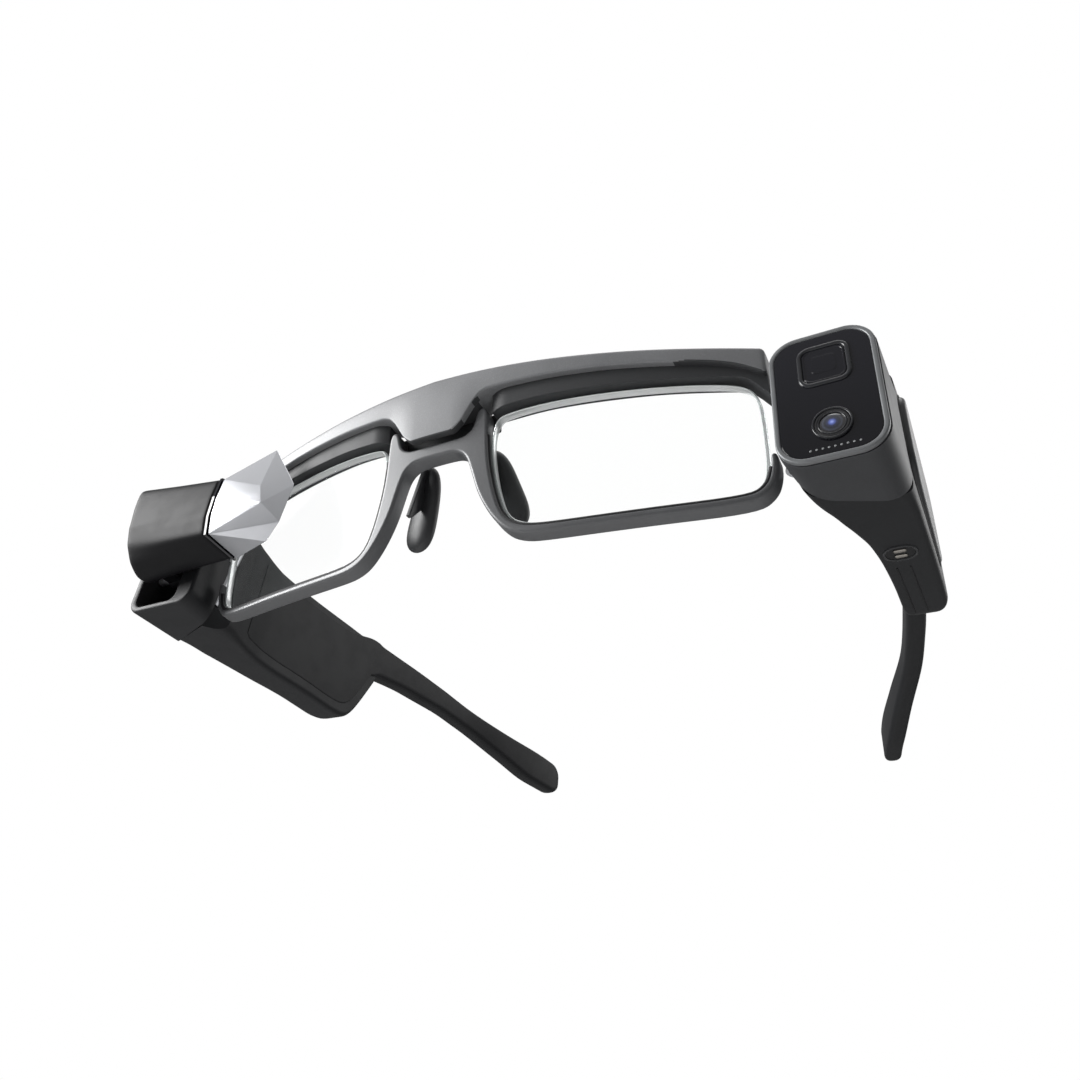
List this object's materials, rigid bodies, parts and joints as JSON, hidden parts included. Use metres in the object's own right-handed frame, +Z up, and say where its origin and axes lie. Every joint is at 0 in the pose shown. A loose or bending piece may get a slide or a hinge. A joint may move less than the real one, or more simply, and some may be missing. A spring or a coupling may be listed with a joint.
{
  "type": "smart glasses",
  "caption": "Smart glasses with folding arms, a camera module on one end and a tilting prism display in front of one lens.",
  "frame": {"origin": "centre of the footprint, at the level of the lowest point of the rims", "axes": "+X towards the wearer's left, +Y back along the arms, +Z up"},
  "size_m": [0.165, 0.1736, 0.036],
  "materials": {
    "brow_satin": "satin",
    "rim_satin": "satin",
    "lens_clear": "polished",
    "pad_rubber": "matte",
    "steel": "brushed",
    "arm_matte": "matte",
    "tip_matte": "matte",
    "bezel_metal": "satin",
    "ring_dark": "gloss",
    "gloss_black": "gloss",
    "display_black": "semi-gloss",
    "inner_black": "matte",
    "board_green": "matte",
    "inner_optic": "polished",
    "prism_crystal": "polished",
    "cell_foil": "satin",
    "touch_satin": "satin",
    "contact_gold": "polished"
  },
  "bodies": {
    "front": {"brow_bar": "brow_satin", "rim_and_bridge": "rim_satin", "lens_left": "lens_clear", "lens_right": "lens_clear", "nose_pad_left": "pad_rubber", "nose_pad_post_left": "steel", "nose_pad_right": "pad_rubber", "nose_pad_post_right": "steel", "camera_housing": "arm_matte", "camera_bezel": "bezel_metal", "camera_cover_glass": "gloss_black", "camera_lens_ring": "bezel_metal", "camera_lens_glass": "gloss_black", "camera_lens_barrel": "inner_black", "camera_sensor_board": "board_green", "zoom_window_ring": "ring_dark", "zoom_window_glass": "gloss_black", "zoom_prism": "inner_optic", "zoom_lens_barrel": "inner_black", "display_cup": "arm_matte", "hinge_front_leaf_left": "steel", "hinge_pin_left": "steel", "hinge_front_leaf_right": "steel", "hinge_pin_right": "steel", "tilt_axle": "steel"},
    "capture_button": {"capture_button": "bezel_metal"},
    "arm_left": {"arm_shell_left": "arm_matte", "arm_cover_left": "arm_matte", "arm_tip_left": "tip_matte", "battery_left": "cell_foil", "speaker_left": "inner_black", "main_board_left": "board_green", "hinge_arm_leaf_left": "steel", "touch_plate": "touch_satin", "contact_seat": "inner_black", "contact_front": "contact_gold", "contact_back": "contact_gold"},
    "arm_right": {"arm_shell_right": "arm_matte", "arm_cover_right": "arm_matte", "arm_tip_right": "tip_matte", "battery_right": "cell_foil", "speaker_right": "inner_black", "main_board_right": "board_green", "hinge_arm_leaf_right": "steel"},
    "display": {"display_housing": "display_black", "display_rim": "gloss_black", "display_prism": "prism_crystal", "micro_display": "board_green", "display_optic": "inner_optic"}
  },
  "joints": [
    {"name": "arm_fold_left", "type": "hinge", "parent": "front", "child": "arm_left", "pos_m": [0.06505, -0.06505, 0.016], "axis": [0.2079, 0, 0.9781], "range_deg": [0, 80]},
    {"name": "arm_fold_right", "type": "hinge", "parent": "front", "child": "arm_right", "pos_m": [-0.06595, -0.06505, 0.016], "axis": [-0.2079, 0, -0.9781], "range_deg": [0, 64]},
    {"name": "display_tilt", "type": "hinge", "parent": "front", "child": "display", "pos_m": [-0.07315, -0.07035, 0.014], "axis": [1, 0, 0], "range_deg": [-8, 5]},
    {"name": "capture_press", "type": "slide", "parent": "front", "child": "capture_button", "axis": [0, 0, -1], "range_m": [0, 0.0006], "stiffness_N_per_m": 500}
  ]
}
